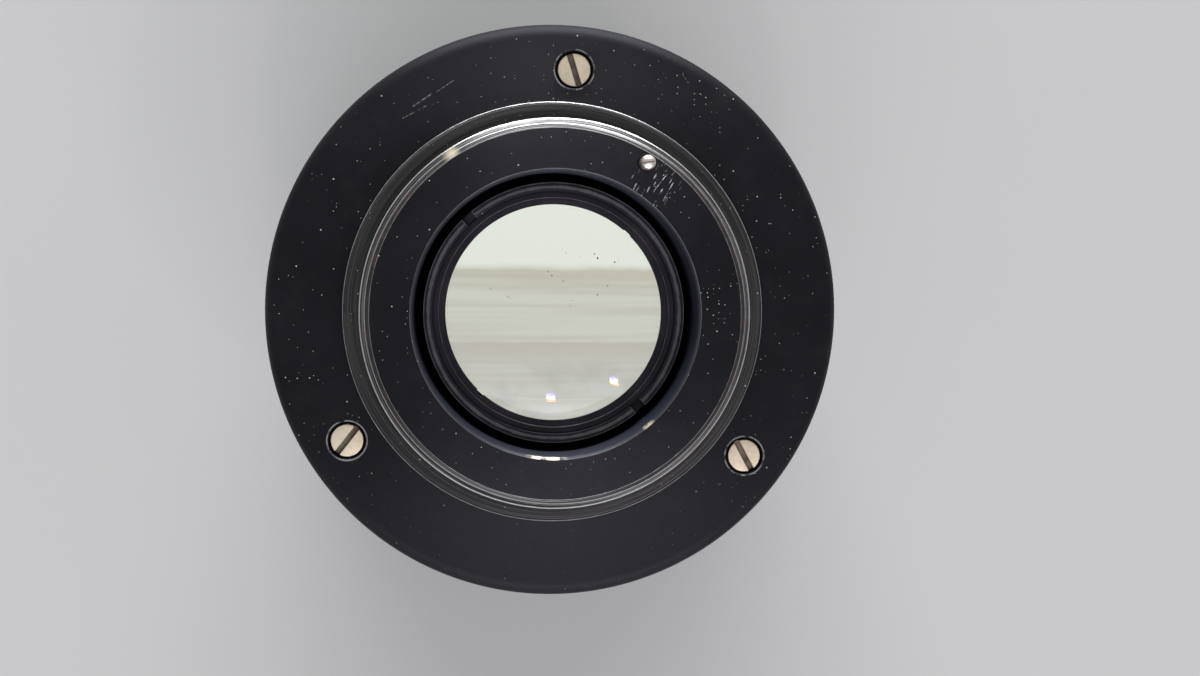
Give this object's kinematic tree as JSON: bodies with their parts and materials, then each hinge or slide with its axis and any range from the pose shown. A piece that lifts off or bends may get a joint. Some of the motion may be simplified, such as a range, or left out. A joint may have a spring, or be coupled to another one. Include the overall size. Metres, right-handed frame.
{
  "type": "camera lens",
  "caption": "Manual-focus camera lens with a 42 mm screw mount, stop-down pin, focusing and aperture rings, iris and glass elements.",
  "frame": {"origin": "centre of the front rim that the lens stands on", "axes": "+Z along the optical axis towards the mount, +Y towards the top of the picture"},
  "size_m": [0.0644, 0.0644, 0.0598],
  "materials": {
    "black_anodised": "satin black anodised aluminium, worn bright at the edges",
    "ring_black": "black anodised aluminium with milled grips",
    "black_brass": "blackened brass",
    "brass": "turned brass",
    "nickel_steel": "nickel-plated steel",
    "spring_steel": "bright spring steel",
    "blackened_steel": "blued spring steel leaf",
    "lens_glass": "polished and coated optical glass"
  },
  "bodies": {
    "lens_body": {"mount_plate": "black_anodised", "mount_screws": "nickel_steel", "fixed_barrel": "black_anodised", "depth_scale_ring": "black_anodised", "straight_keys": "brass", "key_screws": "nickel_steel", "focus_stop_screw": "nickel_steel", "click_ball": "nickel_steel", "click_spring": "spring_steel", "pin_bracket": "spring_steel", "bracket_screws": "nickel_steel", "crank_pivot": "nickel_steel", "pin_spring": "spring_steel"},
    "stop_down_pin": {"stop_down_pin": "nickel_steel"},
    "crank": {"stop_down_crank": "spring_steel"},
    "aperture_control": {"aperture_ring": "ring_black", "preset_ring": "ring_black", "preset_screw": "nickel_steel"},
    "focus_control": {"focus_ring": "ring_black", "focus_helicoid": "brass", "helicoid_lock_ring": "black_brass", "focus_grub_screws": "nickel_steel"},
    "optical_unit": {"filter_ring": "black_anodised", "name_ring": "black_anodised", "optical_barrel": "black_anodised", "front_cell": "black_anodised", "front_meniscus": "lens_glass", "front_retaining_ring": "black_anodised", "front_doublet_outer": "lens_glass", "front_doublet_inner": "lens_glass", "front_doublet_ring": "black_anodised", "iris_housing": "black_anodised", "iris_cover": "black_anodised", "rear_cell": "black_anodised", "rear_doublet_inner": "lens_glass", "rear_doublet_outer": "lens_glass", "rear_spacer": "black_anodised", "rear_biconvex": "lens_glass", "rear_retaining_ring": "black_brass"},
    "iris_drive": {"iris_drive_ring": "brass"},
    "blade_1": {"iris_blade_1": "blackened_steel"},
    "blade_2": {"iris_blade_2": "blackened_steel"},
    "blade_3": {"iris_blade_3": "blackened_steel"},
    "blade_4": {"iris_blade_4": "blackened_steel"},
    "blade_5": {"iris_blade_5": "blackened_steel"},
    "blade_6": {"iris_blade_6": "blackened_steel"}
  },
  "joints": [
    {"name": "focus_turn", "type": "hinge", "parent": "lens_body", "child": "focus_control", "pos_m": [0, 0, 0.022], "axis": [0, 0, 1], "range_deg": [0, 260]},
    {"name": "focus_slide", "type": "slide", "parent": "lens_body", "child": "optical_unit", "axis": [0, 0, -1], "range_m": [0, 0.008]},
    {"name": "aperture_turn", "type": "hinge", "parent": "lens_body", "child": "aperture_control", "pos_m": [0, 0, 0.043], "axis": [0, 0, 1], "range_deg": [0, 48]},
    {"name": "pin_press", "type": "slide", "parent": "lens_body", "child": "stop_down_pin", "axis": [0, 0, -1], "range_m": [0, 0.0018], "stiffness_N_per_m": 5, "springref_m": -0.001, "deforming": ["pin_spring"]},
    {"name": "crank_swing", "type": "hinge", "parent": "lens_body", "child": "crank", "pos_m": [0.00597, 0.01783, 0.0451], "axis": [0.3176, 0.9482, 0], "range_deg": [0, 26]},
    {"name": "iris_turn", "type": "hinge", "parent": "optical_unit", "child": "iris_drive", "pos_m": [0, 0, 0.029], "axis": [0, 0, 1], "range_deg": [0, 14.17], "stiffness_Nm_per_rad": 0.0212, "springref_deg": -7.87},
    {"name": "blade_1_swing", "type": "hinge", "parent": "optical_unit", "child": "blade_1", "pos_m": [0.01507, 0.00266, 0.031], "axis": [0, 0, 1], "range_deg": [0, 28]},
    {"name": "blade_2_swing", "type": "hinge", "parent": "optical_unit", "child": "blade_2", "pos_m": [0.00523, 0.01438, 0.031], "axis": [0, 0, 1], "range_deg": [0, 28]},
    {"name": "blade_3_swing", "type": "hinge", "parent": "optical_unit", "child": "blade_3", "pos_m": [-0.00983, 0.01172, 0.031], "axis": [0, 0, 1], "range_deg": [0, 28]},
    {"name": "blade_4_swing", "type": "hinge", "parent": "optical_unit", "child": "blade_4", "pos_m": [-0.01507, -0.00266, 0.031], "axis": [0, 0, 1], "range_deg": [0, 28]},
    {"name": "blade_5_swing", "type": "hinge", "parent": "optical_unit", "child": "blade_5", "pos_m": [-0.00523, -0.01438, 0.031], "axis": [0, 0, 1], "range_deg": [0, 28]},
    {"name": "blade_6_swing", "type": "hinge", "parent": "optical_unit", "child": "blade_6", "pos_m": [0.00983, -0.01172, 0.031], "axis": [0, 0, 1], "range_deg": [0, 28]}
  ],
  "couplings": [
    {"joint": "focus_slide", "follows": "focus_turn", "m_per_rad": 0.0017629},
    {"joint": "pin_press", "follows": "iris_turn", "m_per_rad": 0.0072767},
    {"joint": "crank_swing", "follows": "iris_turn", "ratio": 1.8345},
    {"joint": "blade_1_swing", "follows": "iris_turn", "ratio": 1.9756},
    {"joint": "blade_2_swing", "follows": "iris_turn", "ratio": 1.9756},
    {"joint": "blade_3_swing", "follows": "iris_turn", "ratio": 1.9756},
    {"joint": "blade_4_swing", "follows": "iris_turn", "ratio": 1.9756},
    {"joint": "blade_5_swing", "follows": "iris_turn", "ratio": 1.9756},
    {"joint": "blade_6_swing", "follows": "iris_turn", "ratio": 1.9756}
  ]
}
